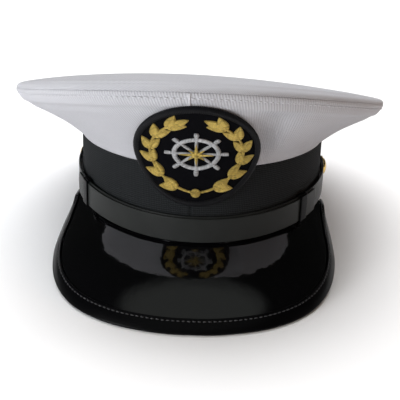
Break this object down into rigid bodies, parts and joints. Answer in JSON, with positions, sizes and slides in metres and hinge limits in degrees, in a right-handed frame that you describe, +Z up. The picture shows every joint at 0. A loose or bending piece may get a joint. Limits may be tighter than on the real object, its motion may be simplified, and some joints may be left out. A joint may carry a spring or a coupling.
{
  "type": "sailor cap",
  "caption": "Peaked sailor cap with a flared cloth crown, a band, a patent leather peak, a chin strap on side buttons and an embroidered badge, worn on the head.",
  "frame": {"origin": "on the table, under the middle of the cap's bounding box", "axes": "+X to the viewer's right of a viewer facing the front, -Y to the front of the cap, +Z up from the table it rests on"},
  "size_m": [0.2518, 0.2928, 0.138],
  "materials": {
    "white_cloth": "white twill",
    "black_cloth": "black ribbed cloth",
    "patent_leather": "mirror-glossy black patent leather",
    "strap_leather": "satin black",
    "gilt": "polished gilt",
    "badge_felt": "black felt with an overlocked edge",
    "gold_thread": "satin-stitched gold thread",
    "silver_thread": "satin-stitched silver thread"
  },
  "bodies": {
    "root": {"crown_top": "white_cloth", "crown_side_left": "white_cloth", "crown_side_right": "white_cloth", "band": "black_cloth", "peak": "patent_leather", "peak_binding": "patent_leather", "strap_inner": "strap_leather", "strap_outer": "strap_leather", "keeper_left": "strap_leather", "keeper_right": "strap_leather", "button_left": "gilt", "button_right": "gilt", "badge_pad": "badge_felt", "badge_border": "badge_felt", "badge_wreath_left": "gold_thread", "badge_wreath_right": "gold_thread", "badge_tie": "gold_thread", "badge_wheel": "silver_thread", "badge_star": "gold_thread"}
  },
  "joints": []
}
